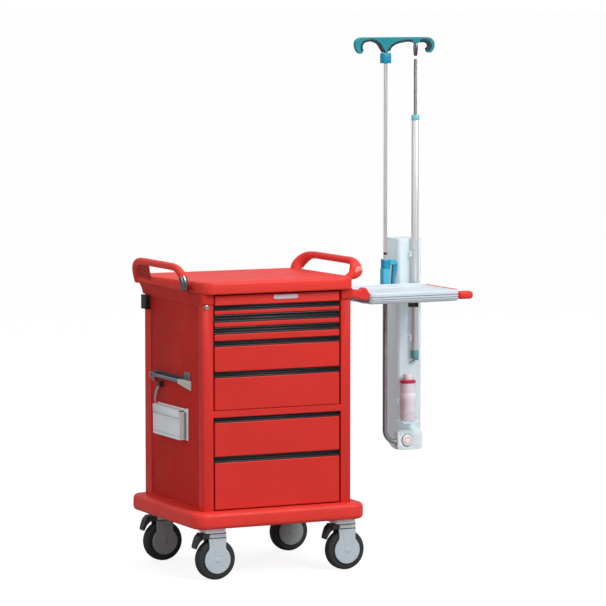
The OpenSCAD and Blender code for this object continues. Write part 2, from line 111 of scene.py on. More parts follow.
def mix(tree, factor, first, second):
    """Mixes two colours; each is a socket or a colour tuple."""
    node = tree.nodes.new("ShaderNodeMix")
    node.data_type = "RGBA"
    for socket, value in ((node.inputs["Factor"], factor), (node.inputs[6], first),
                          (node.inputs[7], second)):
        if isinstance(value, bpy.types.NodeSocket):
            tree.links.new(value, socket)
        else:
            socket.default_value = value
    return node.outputs[2]


def edge_mask(tree, radius):
    """White along convex and concave edges, black on flats, from a rounded normal."""
    bevel = tree.nodes.new("ShaderNodeBevel")
    bevel.samples = 8
    bevel.inputs["Radius"].default_value = radius
    geometry = tree.nodes.new("ShaderNodeNewGeometry")
    dot = tree.nodes.new("ShaderNodeVectorMath")
    dot.operation = "DOT_PRODUCT"
    tree.links.new(bevel.outputs["Normal"], dot.inputs[0])
    tree.links.new(geometry.outputs["Normal"], dot.inputs[1])
    return ramp(tree, dot.outputs["Value"], grey(1), grey(0), 0.80, 0.985)


def gloss(tree, shader, source, low, high):
    """Roughness between two values, following a noise."""
    tree.links.new(ramp(tree, source, grey(low), grey(high)), shader.inputs["Roughness"])


def bump(tree, shader, height, strength, distance):
    node = tree.nodes.new("ShaderNodeBump")
    node.inputs["Strength"].default_value = strength
    node.inputs["Distance"].default_value = distance
    tree.links.new(height, node.inputs["Height"])
    tree.links.new(node.outputs["Normal"], shader.inputs["Normal"])


def coated(name, color, rough, grain=1300, grain_depth=0.0001, vary=0.06, edge=1.25, specular=0.5,
           glow=0.0):
    """Paint or moulded plastic: cloudy colour, fine skin texture, uneven gloss, edges lightened partly by
    wear and partly as a painted highlight.

    A little glow is painted light: emission in the surface's own colour that lifts its shaded faces.
    """
    tree, shader = new_material(name)
    cloud = noise(tree, 6.0, 4.0, 0.6)
    pores = noise(tree, grain, 2.0)
    body = ramp(tree, cloud, shade(color, 1 - vary), shade(color, 1 + vary))
    # Lighter along edges: partly wear, partly a painted highlight.
    mask = edge_mask(tree, 0.0025)
    tree.links.new(mix(tree, mask, body, shade(color, edge)), shader.inputs["Base Color"])
    gloss(tree, shader, noise(tree, 22.0, 5.0, 0.65), rough * 0.82, rough * 1.18)
    shader.inputs["Specular IOR Level"].default_value = specular
    # Emission in the surface's own colour, where glow is set: painted light.
    shader.inputs["Emission Color"].default_value = shade(color, 1)
    shader.inputs["Emission Strength"].default_value = glow
    bump(tree, shader, pores, 0.35, grain_depth)


def brushed(name, color, rough, stretch=ALONG_Z, dark=0.8, metallic=1.0):
    """Metal with fine streaks along one axis."""
    tree, shader = new_material(name)
    streak = noise(tree, 700.0, 3.0, 0.6, stretch)
    cloud = noise(tree, 9.0, 4.0, 0.6)
    tone = ramp(tree, streak, shade(color, dark), shade(color, 1.08))
    tree.links.new(mix(tree, cloud, tone, shade(color, 0.9)), shader.inputs["Base Color"])
    gloss(tree, shader, streak, rough * 0.75, rough * 1.35)
    shader.inputs["Metallic"].default_value = metallic
    bump(tree, shader, streak, 0.12, 0.00005)


def rubber(name, color, rough):
    """Tyre rubber: matt, dusty in patches, with a pebbled skin."""
    tree, shader = new_material(name)
    dust = noise(tree, 35.0, 6.0, 0.7)
    pebble = noise(tree, 1400.0, 2.0)
    tone = ramp(tree, dust, shade(color, 0.8), shade(color, 1.9), 0.3, 0.8)
    tree.links.new(tone, shader.inputs["Base Color"])
    gloss(tree, shader, dust, rough, rough * 1.3)
    bump(tree, shader, pebble, 0.5, 0.0002)


def clear_plastic(name, color, rough, clear):
    """Milky see-through plastic."""
    tree, shader = new_material(name)
    cloud = noise(tree, 14.0, 4.0, 0.6)
    pores = noise(tree, 500.0, 2.0)
    tone = ramp(tree, cloud, shade(color, 0.94), shade(color, 1.05))
    tree.links.new(tone, shader.inputs["Base Color"])
    gloss(tree, shader, cloud, rough, rough * 1.5)
    shader.inputs["Transmission Weight"].default_value = clear
    shader.inputs["IOR"].default_value = 1.46
    bump(tree, shader, pores, 0.15, 0.0001)


RED = (0.60, 0.027, 0.020)
RED_PLASTIC = (0.70, 0.042, 0.032)
coated("red_paint", RED, 0.38, grain=1100, vary=0.04, edge=1.1, specular=0.22)
# A darker copy of the red paint for the cabinet's panels: painted shade for their shaded sides.
coated("panel_painted_shade", shade(RED, 0.84), 0.6, grain=1100, vary=0.05, edge=1.05, specular=0.1)
coated("red_plastic", RED_PLASTIC, 0.4, grain=1500, grain_depth=0.00012, vary=0.04, edge=1.12,
       specular=0.16)
# A darker copy of the red plastic for the collar under the deck: painted shade under the deck's overhang.
coated("skirt_painted_shade", shade(RED_PLASTIC, 0.72), 0.5, grain=1500, grain_depth=0.00012, vary=0.04,
       edge=1.1, specular=0.06)
# A darker copy of the red plastic for the left handle's web: painted shade on its shaded face.
coated("web_painted_shade", shade(RED_PLASTIC, 0.55), 0.5, grain=1500, vary=0.05, edge=1.1, specular=0.1)
# Pale pink for the disc on the right handle's bulb: a painted highlight.
coated("handle_highlight", (0.82, 0.24, 0.22), 0.3, grain=1500, vary=0.04, edge=1.1)
brushed("zinc_steel", (0.55, 0.57, 0.6), 0.38, stretch=ALONG_Y)
coated("grey_plastic", (0.5, 0.54, 0.58), 0.42, vary=0.05, edge=1.2)
coated("cover_plastic", (0.46, 0.52, 0.57), 0.4, vary=0.05)
coated("crown_plastic", (0.52, 0.56, 0.6), 0.36, vary=0.05, edge=1.2)
# Dark grey: painted shade on the rear caster covers, in the shadow under the cart; also the dark lines on
# the glove box.
coated("shaded_plastic", (0.26, 0.29, 0.295), 0.45, vary=0.08, edge=1.3)
coated("mount_plastic", (0.78, 0.79, 0.81), 0.4, vary=0.04, edge=1.05)
coated("black_plastic", (0.012, 0.013, 0.016), 0.34, grain_depth=0.00012, vary=0.2, edge=3.0)
coated("dark_plastic", (0.022, 0.026, 0.032), 0.45, grain_depth=0.00012, vary=0.2, edge=1.8)
brushed("bracket_metal", (0.34, 0.37, 0.42), 0.42, stretch=ALONG_Y)
brushed("pale_bracket", (0.58, 0.58, 0.56), 0.45, stretch=ALONG_Y, metallic=0.3)
brushed("dark_bracket", (0.17, 0.16, 0.17), 0.45, stretch=ALONG_Y)
brushed("ferrule_metal", (0.2, 0.2, 0.21), 0.24)
brushed("rail_steel", (0.27, 0.36, 0.48), 0.26, stretch=ALONG_Y)
brushed("bright_steel", (0.62, 0.66, 0.71), 0.22, stretch=ALONG_Y)
brushed("pole_steel", (0.78, 0.79, 0.81), 0.34, metallic=0.75)
brushed("dark_steel", (0.17, 0.17, 0.17), 0.32, metallic=0.8)
coated("grey_paint", (0.7, 0.8, 0.83), 0.45, grain=900, vary=0.04, edge=1.08)
# The column's paint glows a little: painted light that lifts its shaded faces.
coated("column_paint", (0.5, 0.585, 0.62), 0.5, grain=900, vary=0.04, edge=1.08, specular=0.3, glow=0.3)
coated("box_plastic", (0.74, 0.77, 0.8), 0.4, grain=900, vary=0.05, edge=1.1)
coated("tray_plastic", (0.58, 0.64, 0.69), 0.4, vary=0.03, edge=1.1)
# Dark blue-grey: painted shade in the tray's grooves and round the call button.
coated("painted_shade_dark", (0.16, 0.2, 0.24), 0.5)
brushed("tube_steel", (0.36, 0.41, 0.43), 0.3, metallic=0.9)
brushed("pole_aluminium", (0.78, 0.81, 0.82), 0.42, dark=0.92, metallic=0.6)
coated("teal_plastic", (0.006, 0.24, 0.28), 0.3, edge=1.4)
coated("deep_teal", (0.004, 0.022, 0.027), 0.4, vary=0.08, edge=1.3)
coated("clamp_plastic", (0.008, 0.27, 0.42), 0.32, edge=1.3)
coated("sleeve_plastic", (0.055, 0.42, 0.62), 0.34, vary=0.05, edge=1.2)
coated("pale_teal", (0.16, 0.48, 0.58), 0.34, vary=0.05, edge=1.15)
coated("muted_teal", (0.12, 0.36, 0.4), 0.4, vary=0.05, edge=1.15)
coated("blue_plastic", (0.006, 0.24, 0.4), 0.3, edge=1.5)
coated("white_plastic", (0.86, 0.86, 0.86), 0.28, vary=0.02)
clear_plastic("bottle_plastic", (0.9, 0.84, 0.92), 0.3, clear=0.25)
coated("print_plastic", (0.7, 0.66, 0.74), 0.36)
coated("band_plastic", (0.52, 0.028, 0.07), 0.34, vary=0.04)
coated("cap_plastic", (0.8, 0.74, 0.78), 0.34, vary=0.02)
coated("label_plastic", (0.58, 0.5, 0.58), 0.3, vary=0.04)
coated("ring_paint", (0.62, 0.13, 0.11), 0.4, vary=0.05)
rubber("tyre_rubber", (0.014, 0.017, 0.019), 0.62)


# ---------------- mesh building

def add(name, data):
    """A new object in the scene, from its mesh, light or camera data."""
    made = bpy.data.objects.new(name, data)
    bpy.context.scene.collection.objects.link(made)
    return made


def make(name, part, material, body="cart", replaces=(), angle=32, bevel=0.0,
         segments=3):
    """A named piece from a part (vertices in mm, faces), riding on a body.

    bevel rounds its sharp edges, in mm; angle is how far smooth shading goes round an edge.
    """
    verts, faces = part
    mesh = bpy.data.meshes.new(name)
    mesh.from_pydata([Vector(v) * MM for v in verts], [], faces)
    mesh.validate()
    mesh.update()
    piece = add(name, mesh)
    if bevel:
        round_edges(piece, bevel, segments, False)
    mesh.materials.append(MATERIALS[material])
    shade_by_angle(mesh, angle)
    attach(piece, body)
    if replaces:
        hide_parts(*replaces)
    return piece


def round_edges(piece, width, segments, harden):
    edge = piece.modifiers.new("round_edges", "BEVEL")
    edge.width = width * MM
    edge.segments = segments
    edge.limit_method = "ANGLE"
    edge.angle_limit = math.radians(30)
    edge.harden_normals = harden


def shade_by_angle(mesh, angle):
    """Turns the faces outward, shades them smooth and marks the edges where shading stops."""
    for polygon in mesh.polygons:
        polygon.use_smooth = True
    work = bmesh.new()
    work.from_mesh(mesh)
    bmesh.ops.recalc_face_normals(work, faces=work.faces)
    limit = math.radians(angle)
    for edge in work.edges:
        faces = edge.link_faces
        edge.smooth = len(faces) == 2 and faces[0].normal.angle(faces[1].normal, 0) < limit
    work.to_mesh(mesh)
    work.free()


def arc(center, radius, start, end, steps=6):
    """Points of a flat arc, angles in degrees."""
    out = []
    for i in range(steps + 1):
        a = math.radians(start + (end - start) * i / steps)
        out.append((center[0] + radius * math.cos(a), center[1] + radius * math.sin(a)))
    return out


def rounded_loop(half_w, half_d, radius, steps=8, middle=(0, 0)):
    """Plan outline of a rectangle with round corners, anticlockwise."""
    points = []
    for sx, sy, start in ((1, 1, 0), (-1, 1, 90), (-1, -1, 180), (1, -1, 270)):
        center = (middle[0] + sx * (half_w - radius), middle[1] + sy * (half_d - radius))
        points += arc(center, radius, start, start + 90, steps)
    return points


def rings(levels, corner, half_w, half_d, steps=10, middle=(0, 0), least=2):
    """Loops of a rectangle with round corners, one per (z, inset) level.

    least is the smallest corner radius, for levels set in by more than the corner.
    """
    out = []
    for z, inset in levels:
        flat = rounded_loop(half_w - inset, half_d - inset, max(corner - inset, least), steps, middle)
        out.append([(x, y, z) for x, y in flat])
    return out


def skin(loops, strips, wrap):
    """Faces between neighbouring loops; wrap joins each loop's last point to its first."""
    count = len(loops[0])
    faces = []
    for k in range(strips):
        n = (k + 1) % len(loops)
        for i in range(count if wrap else count - 1):
            j = (i + 1) % count
            faces.append((k * count + i, k * count + j, n * count + j, n * count + i))
    return [Vector(p) for loop in loops for p in loop], faces


def loft(loops):
    """Solid over loops of equal length, capped at both ends. Returns vertices and faces."""
    verts, faces = skin(loops, len(loops) - 1, True)
    count = len(loops[0])
    faces.append(tuple(range(count))[::-1])
    faces.append(tuple(len(verts) - count + i for i in range(count)))
    return verts, faces


def slab(half_w, half_d, corner, z0, z1, r_low, r_high, steps=6, middle=(0, 0)):
    """Level plate with round corners in plan and rounded upper and lower rims."""
    turns = [math.pi / 2 * i / steps for i in range(steps + 1)]
    levels = [(z0 + r_low * (1 - math.cos(a)), r_low * (1 - math.sin(a))) for a in turns]
    levels += [(z1 - r_high * (1 - math.sin(a)), r_high * (1 - math.cos(a))) for a in turns]
    return loft(rings(levels, corner, half_w, half_d, 10, middle, 1))


def prism(outline, axis, low, high):
    """Solid from a flat outline, drawn in the other two axes in X, Y, Z order."""
    def place(p, w):
        return {"x": (w, p[0], p[1]), "y": (p[0], w, p[1]), "z": (p[0], p[1], w)}[axis]
    return loft([[place(p, low) for p in outline], [place(p, high) for p in outline]])


def oblong(low, high, inset=0):
    """Plan outline of the box between two corners."""
    x0, y0, x1, y1 = low[0] + inset, low[1] + inset, high[0] - inset, high[1] - inset
    return [(x0, y0), (x1, y0), (x1, y1), (x0, y1)]


def brick(low, high):
    """Plain box between two corners, for use with a bevel."""
    return prism(oblong(low, high), "z", low[2], high[2])


def lathe(profile, center, axis="z", steps=48, closed=False):
    """Turned shape. profile holds (radius, height) pairs; closed joins its ends, for a ring."""
    loops = []
    for i in range(steps):
        a = 2 * math.pi * i / steps
        loop = []
        for r, h in profile:
            u, v = r * math.cos(a), r * math.sin(a)
            offset = (u, v, h) if axis == "z" else (u, h, v)
            loop.append(Vector(center) + Vector(offset))
        loops.append(loop)
    verts, faces = skin(loops, steps, closed)
    if not closed:
        count = len(profile)
        faces.append(tuple(k * count for k in range(steps)))
        faces.append(tuple(k * count + count - 1 for k in range(steps))[::-1])
    return verts, faces


def smooth_path(points, per_span=8):
    """Catmull-Rom curve through points; each point is a tuple of any length."""
    pts = [points[0]] + list(points) + [points[-1]]
    out = []
    for k in range(1, len(pts) - 2):
        for i in range(per_span):
            t = i / per_span
            row = []
            for a, b, c, d in zip(pts[k - 1], pts[k], pts[k + 1], pts[k + 2]):
                row.append(0.5 * (2 * b + (c - a) * t + (2 * a - 5 * b + 4 * c - d) * t * t
                                  + (3 * b - a - 3 * c + d) * t ** 3))
            out.append(tuple(row))
    out.append(tuple(points[-1]))
    return out


def sweep(path, sides=20, side_axis=None):
    """Round or oval bar along a path. Each path row is (x, y, z, radius) or
    (x, y, z, radius along side_axis, radius across it)."""
    points = [Vector(p[:3]) for p in path]
    loops = []
    normal = None
    for i, p in enumerate(points):
        tangent = (points[min(i + 1, len(points) - 1)] - points[max(i - 1, 0)]).normalized()
        if side_axis:
            normal = Vector(side_axis)
        elif normal is None:
            normal = Vector((0, 0, 1)) if abs(tangent.z) < 0.9 else Vector((1, 0, 0))
        normal = (normal - tangent * normal.dot(tangent)).normalized()
        other = tangent.cross(normal)
        ra = path[i][3]
        rb = path[i][4] if len(path[i]) > 4 else ra
        loop = []
        for k in range(sides):
            a = 2 * math.pi * k / sides
            loop.append(p + normal * (ra * math.cos(a)) + other * (rb * math.sin(a)))
        loops.append(loop)
    return loft(loops)


def ribbon(line, width, low, high):
    """Strip of even width along a line in the XZ plane, from low to high in Y."""
    left, right = [], []
    for k, point in enumerate(line):
        before, after = Vector(line[max(k - 1, 0)]), Vector(line[min(k + 1, len(line) - 1)])
        along = (after - before).normalized()
        across = Vector((-along.y, along.x)) * (width / 2)
        left.append(tuple(Vector(point) + across))
        right.append(tuple(Vector(point) - across))
    return prism(left + right[::-1], "y", low, high)


def shift(part, offset):
    verts, faces = part
    return [Vector(v) + Vector(offset) for v in verts], faces


# ---------------- CAD nodes kept as they are

def cad_box_mm(node):
    low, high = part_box(node)
    return low / MM, high / MM


def cad_middle_mm(node):
    """Middle of a CAD node's box, to the nearest tenth."""
    return [round((a + b) / 2, 1) for a, b in zip(*cad_box_mm(node))]


def keep(node, material):
    """Shows a CAD node with softened edges and a material."""
    piece = frame["nodes"][node]
    weld = piece.modifiers.new("weld", "WELD")
    weld.merge_threshold = 0.00002
    round_edges(piece, 1.2, 2, True)
    piece.data.materials.clear()
    piece.data.materials.append(MATERIALS[material])
    for polygon in piece.data.polygons:
        polygon.use_smooth = True


KEPT = {
    "cabinet_frame": "red_paint", "cabinet_panels": "panel_painted_shade", "slide_channels": "zinc_steel",
    "writing_shelf": "red_plastic", "cable_hook": "black_plastic",
    "accessory_rail": "rail_steel", "glove_box": "box_plastic", "box_lid": "box_plastic",
    "lock_housing": "bright_steel", "lock_cylinder": "bright_steel",
    "outrigger_beam": "grey_paint", "tray_latch": "black_plastic",
    "column_housing": "column_paint", "button_block": "grey_paint",
    "frame_tube": "tube_steel", "outer_tube": "pole_aluminium",
}
for node_name, node_material in KEPT.items():
    keep(node_name, node_material)


# ---------------- base, deck and handles

BASE_LOW, BASE_HIGH = cad_box_mm("base_bumper")
DECK_LOW, DECK_HIGH = cad_box_mm("deck_top")
DECK_FRONT_W, DECK_FRONT_CORNER = 303, 50
DECK_REAR_W, DECK_REAR_CORNER = 340, 58


def base():
    """Moulded bumper with soft rims, all round the cabinet's foot."""
    half_w, half_d = BASE_HIGH.x, BASE_HIGH.y
    low, high = BASE_LOW.z, BASE_HIGH.z
    levels = [(low, 24), (low + 0.6, 16), (low + 2.5, 9), (low + 6, 4), (low + 11, 1), (low + 17, 0),
              (high - 20, 0), (high - 14, 0.7), (high - 8, 3), (high - 4, 6.5), (high - 1.2, 11.5),
              (high, 18), (high, 40)]
    make("base_shell", loft(rings(levels, 50, half_w, half_d, 14)), "red_plastic",
         replaces=["base_bumper"], angle=60)


def deck_loop(z_front, z_rear, inset):
    """Plan outline of the deck at one level: wider and at its own height towards the back."""
    half_w, half_d = DECK_REAR_W - inset, DECK_HIGH.y - inset
    points = []
    for sx, sy, start in ((1, 1, 0), (-1, 1, 90), (-1, -1, 180), (1, -1, 270)):
        r = max((DECK_REAR_CORNER if sy > 0 else DECK_FRONT_CORNER) - inset, 3)
        points += arc((sx * (half_w - r), sy * (half_d - r)), r, start, start + 90, 10)
    out = []
    for x, y in points:
        back = (y - DECK_LOW.y) / (DECK_HIGH.y - DECK_LOW.y)
        narrow = 1 - (1 - DECK_FRONT_W / DECK_REAR_W) * (1 - back)
        out.append((x * narrow, y, z_front + (z_rear - z_front) * back))
    return out


def deck():
    """Deck with a tall plain front rim that sinks towards the open back."""
    levels = [(1041, 1052, 34), (1041, 1053, 10), (1042, 1055, 4), (1045, 1058, 1), (1049, 1062, 0),
              (1077, 1071, 0), (1082, 1074.4, 1.6), (1085.6, 1077, 4.6), (1088, 1078.4, 9),
              (1088.6, 1079, 14), (1087.6, 1078.6, 20), (1083, 1077.4, 30), (1078, 1076.4, 42),
              (1076, 1076, 56)]
    make("deck_shell", loft([deck_loop(*level) for level in levels]), "red_plastic",
         replaces=["deck_top"], angle=60)
    # The collar takes the darker red: painted shade under the deck's lip.
    skirt = [skirt_loop(*level) for level in ((1006, 1006, 0), (1008, 1008, 1), (1030, 1030, 7),
                                              (1043, 1056, 21))]
    make("deck_skirt", loft(skirt), "skirt_painted_shade", bevel=1.2, angle=50)


def skirt_loop(z_front, z_rear, flare):
    """Level of the collar below the deck, open at the front and flaring out towards the back."""
    front, depth = -273, 546
    outer = [(-257, front)] + arc((-290, -257), 16, 270, 180) + arc((-290, 257), 16, 180, 90)
    outer += arc((290, 257), 16, 90, 0) + arc((290, -257), 16, 0, -90) + [(257, front)]
    inner = [(257, -266.5)] + arc((288, -255), 11.5, -90, 0) + arc((288, 255), 11.5, 0, 90)
    inner += arc((-288, 255), 11.5, 90, 180) + arc((-288, -255), 11.5, 180, 270) + [(-257, -266.5)]
    out = []
    for k, (x, y) in enumerate(outer + inner):
        back = (y - front) / depth
        spread = math.copysign(flare * back, x) if k < len(outer) else 0
        out.append((x + spread, y, z_front + (z_rear - z_front) * back))
    return out


def handle_path(sign):
    """Centre line of a push handle from its rear foot to its front foot, with its two radii.

    The left handle's front end goes into a metal ferrule, the right one's swells to a bulb on
    the deck's rim.
    """
    bar_x, bar_z = 354.5, 1135.5
    if sign < 0:
        rows = [(322, 262, 1056, 17, 17), (333, 250, 1082, 17, 17), (343, 234, 1104, 16.5, 16.5),
                (349.5, 214, 1121, 15.5, 15.5), (353, 188, 1131, 14.2, 14.2)]
    else:
        rows = [(316, 250, 1068, 13, 40), (323, 250, 1087, 12.5, 36), (337, 240, 1106, 12.5, 28),
                (349, 214, 1124, 13.4, 20), (353.5, 180, 1133, 13.4, 14.5)]
    rows += [(bar_x, y, bar_z, 13.4, 13.4) for y in (140, 60, -20, -90)]
    if sign < 0:
        rows += [(354, -142, 1134, 13.4, 13.4), (353, -176, 1126.5, 14, 14),
                 (350.5, -199, 1111, 14.4, 14.4), (347, -209, 1092, 13.2, 13.2)]
    else:
        rows += [(355, -142, 1135, 14, 14), (356.5, -168, 1129.5, 16.5, 16.5), (354, -188, 1117, 21, 21),
                 (348, -204, 1102, 25, 25), (336, -211, 1092, 21, 21), (320, -213, 1084, 14.5, 14.5),
                 (303, -211, 1077, 10, 10)]
    return smooth_path([(sign * x, y, z, ra, rb) for x, y, z, ra, rb in rows], 6)


def handles():
    for side, sign in SIDES.items():
        part = sweep(handle_path(sign), 28, (1, 0, 0))
        make(f"push_handle_{side}", part, "red_plastic",
             replaces=["push_handles"] if sign > 0 else [], angle=60)
    handle_web()
    handle_ferrule()
    handle_highlight()


def handle_web():
    """Plate that fills the rear corner of the left handle, in a darker red: painted shade."""
    web = []
    for z, x, front, rear in ((1056, 322, 136, 262), (1076, 331, 132, 252), (1100, 342, 120, 238),
                              (1126, 352, 104, 206)):
        web.append([(-x - 5, front, z), (-x + 5, front, z), (-x + 5, rear, z), (-x - 5, rear, z)])
    make("handle_web_left", loft(web), "web_painted_shade", bevel=2.5)


def handle_ferrule():
    """Metal end on the left handle's front foot, and the lug that holds it to the deck."""
    tip = [(-349, -204, 1103, 14.4), (-346.5, -208.6, 1090, 15), (-344.6, -211, 1076, 15),
           (-343, -212, 1064, 14.2), (-342.3, -212.4, 1056, 11.6), (-342, -212.6, 1053, 6)]
    make("handle_ferrule", sweep(smooth_path(tip, 4), 28), "ferrule_metal",
         angle=50)
    lug = [(-296, -128, 1059, 12), (-314, -162, 1060, 12), (-332, -192, 1063, 11.5), (-344, -210, 1068, 9)]
    make("handle_lug", sweep(smooth_path(lug, 4), 24), "red_plastic", angle=60)


def handle_highlight():
    """Pale disc on the right handle's bulb, turned outward and up: a painted highlight."""
    cap = lathe([(0.5, -3.2), (9, -2.7), (14.5, -1), (18, 1.8), (19, 5)], (0, 0, 0), "y", 28)
    turn = Matrix.Rotation(math.radians(20), 4, "Z") @ Matrix.Rotation(math.radians(14), 4, "X")
    placed = [turn @ v + Vector((351, -226, 1101)) for v in cap[0]]
    make("handle_cap_right", (placed, cap[1]), "handle_highlight", angle=60)


# ---------------- drawers and shelf front

DRAWERS = range(1, 8)


def drawer(i):
    low, high = cad_box_mm(f"drawer_{i}")
    grip_low, grip_high = cad_box_mm(f"drawer_grip_{i}")
    body = f"drawer_{i}"
    face_y, back_y = low.y, grip_high.y
    top = grip_low.z
    front = brick((-250.6, face_y, low.z), (250.6, back_y, top))
    make(f"drawer_front_{i}", front, "red_paint", body, replaces=[f"drawer_{i}"], bevel=3,
         segments=4)
    make(f"drawer_tub_{i}", tub((-232, back_y - 0.5, low.z + 2), (232, high.y, top)), "grey_paint",
         body, bevel=0.8)
    for side, sign in SIDES.items():
        runner = brick((min(sign * 232, sign * 250.4), back_y + 6, low.z + 3),
                       (max(sign * 232, sign * 250.4), high.y, low.z + 9))
        make(f"drawer_runner_{side}_{i}", runner, "zinc_steel", body, bevel=0.8)
    make(f"drawer_pull_{i}", pull(grip_low, grip_high), "black_plastic", body,
         replaces=[f"drawer_grip_{i}"], bevel=1.3, angle=40)


def tub(low, high):
    """Open box with thin walls."""
    wall = 2.5
    outer, inner = oblong(low, high), oblong(low, high, wall)
    loops = [[(x, y, low[2]) for x, y in outer], [(x, y, high[2]) for x, y in outer],
             [(x, y, high[2]) for x, y in inner], [(x, y, low[2] + wall) for x, y in inner]]
    return loft(loops)


def pull(low, high):
    """Full-width finger pull: a hood above a hollow, over a sill that catches the light."""
    h = high.z - low.z
    back, nose = high.y, low.y
    sill = low.z + 0.30 * h
    outline = [(back, low.z), (nose + 1, low.z), (nose, low.z + 0.18 * h), (nose + 3, sill),
               (back - 4, low.z + 0.46 * h), (back - 4, low.z + 0.66 * h),
               (nose + 1, high.z - 0.12 * h), (nose + 2, high.z), (back, high.z)]
    return prism(outline, "x", low.x, high.x)


def shelf_front():
    """Oval blank plate on the writing shelf's front."""
    low, high = cad_box_mm("label_plate")
    middle, mid_z = (low.x + high.x) / 2, (low.z + high.z) / 2
    reach, r = (high.x - low.x) / 2 - 7, (high.z - low.z) / 2
    outline = arc((middle + reach, mid_z), r, -90, 90, 10) + arc((middle - reach, mid_z), r, 90, 270, 10)
    make("name_plate", prism(outline, "y", low.y, high.y), "label_plastic", "writing_shelf",
         replaces=["label_plate"], bevel=1.0)


# ---------------- fittings on the left side

PANEL_X = cad_box_mm("cabinet_panels")[0].x


def rail_brackets():
    """Back plate with two brackets that taper from the rail to the panel."""
    low, high = cad_box_mm("accessory_rail")
    mid = (low.z + high.z) / 2
    plate = slab_x(PANEL_X - 3, PANEL_X, (low.y - 40, mid - 13), (high.y + 40, mid + 14), 3)
    make("rail_plate", plate, "dark_bracket", replaces=["rail_brackets"], bevel=1)
    upright = slab_x(PANEL_X - 4, PANEL_X, (low.y - 38, mid - 20), (low.y + 12, mid + 32), 4)
    make("rail_upright", upright, "bracket_metal", bevel=1)
    for name, tip, root in (("front", low.y - 2, low.y - 50), ("rear", high.y + 2, high.y + 26)):
        at_rail = [(low.x - 2, tip, mid - 9), (high.x + 1, tip, mid - 9), (high.x + 1, tip, mid + 8),
                   (low.x - 2, tip, mid + 8)]
        at_panel = [(PANEL_X - 5, root, mid - 34), (PANEL_X, root, mid - 34),
                    (PANEL_X, root, mid + 2), (PANEL_X - 5, root, mid + 2)]
        make(f"rail_bracket_{name}", loft([at_rail, at_panel]), "pale_bracket", bevel=1.6, segments=2,
             angle=30)


def slab_x(x0, x1, low, high, corner):
    """Upright plate facing along X, with round corners; low and high are (y, z) corners."""
    middle = ((low[0] + high[0]) / 2, (low[1] + high[1]) / 2)
    outline = rounded_loop((high[0] - low[0]) / 2, (high[1] - low[1]) / 2, corner, 5, middle)
    return prism(outline, "x", x0, x1)


def tether():
    """Dark clip below the rail and a thin steel strap down to the box."""
    outer_x = cad_box_mm("box_tether")[0].x
    clip = slab_x(outer_x + 2, PANEL_X, (88, 674), (106, 694), 3)
    make("tether_clip", clip, "dark_plastic", replaces=["box_tether"], bevel=1.5)
    strap = [(-311, 97, 686, 1.6, 4), (-312, 114, 668, 1.7, 6), (-313, 131, 644, 1.8, 7),
             (-312, 137, 620, 1.7, 5), (-310, 133, 600, 1.5, 3.4)]
    make("tether_strap", sweep(smooth_path(strap, 6), 14, (1, 0, 0)), "bright_steel", angle=60)


def box_dark_lines():
    """Dark lines on the box: painted shade below the lid's flap and beside its flange, and a seam line
    near its lower edge.
    """
    low, high = cad_box_mm("glove_box")
    face = cad_box_mm("box_lid")[0].x + 3
    flap = cad_box_mm("box_lid")[0].z
    front, back = low.y + 15, high.y - 8
    # The flap and flange strips are painted shade; the foot strip is a seam line.
    for name, corners in (("flap", ((face - 0.5, front + 2, flap - 2.6), (face + 1, back - 2, flap))),
                          ("foot", ((face - 0.4, front + 2, 511), (face + 1, back - 2, 512.6))),
                          ("flange", ((PANEL_X - 12, front - 1, 502), (PANEL_X - 3, front + 0.5, 602)))):
        make(f"box_dark_line_{name}", brick(*corners), "shaded_plastic")


# ---------------- casters

WHEEL_R = cad_middle_mm("wheel_fl")[2]
TRAIL = 22
CROWN_MID = 21
CROWN_LOW, CROWN_TOP = 154, 174.5
COVER_IN, COVER_OUT = 22.4, 27.6
HINGE = (-29, 163)
CORNERS = {}
for corner_name in ("fl", "fr", "rl", "rr"):
    wheel_x, wheel_y, _ = cad_middle_mm(f"wheel_{corner_name}")
    CORNERS[corner_name] = (wheel_x - TRAIL, wheel_y)
# The rear covers are darker: painted shade for the shadow under the cart.
COVER = {"f": "cover_plastic", "r": "shaded_plastic"}
FORK_SIDES = {"front": -1, "back": 1}


def cover_outline():
    """Side outline of the fork cover: a round disc with a straight neck up to the crown."""
    disc = arc((TRAIL, WHEEL_R), 51, 48, -228, 44)
    left = [(TRAIL - 33, 122), (TRAIL - 33.5, 136), (TRAIL - 36, CROWN_LOW + 3)]
    right = [(TRAIL + 36, CROWN_LOW + 3), (TRAIL + 33.5, 136), (TRAIL + 33, 122)]
    return disc + left + right


def tyre_profile():
    """Section of the tyre as (radius, offset along the axle) pairs, with two tread grooves."""
    groove = 7.5
    half = [(75, 1.5), (74.6, groove - 1.6), (72.4, groove - 0.9), (72.4, groove + 0.9),
            (74.2, groove + 1.6), (74.2, 11.5), (72.8, 15.6), (69.8, 18.8), (65, 20.8), (58, 21),
            (52, 20.4), (44, 19.6)]
    return [(radius, -offset) for radius, offset in half[::-1]] + half


def caster_wheel(name, x, y):
    center, wheel = (x + TRAIL, y, WHEEL_R), f"wheel_{name}"
    make(f"tyre_{name}", lathe(tyre_profile(), center, "y", 72, True), "tyre_rubber", wheel,
         replaces=[wheel], angle=50)
    hub = [(7, -18), (40, -18), (44, -19), (46, -19), (46, 19), (44, 19), (40, 18), (7, 18)]
    make(f"hub_{name}", lathe(hub, center, "y", 48, True), "grey_plastic", wheel)


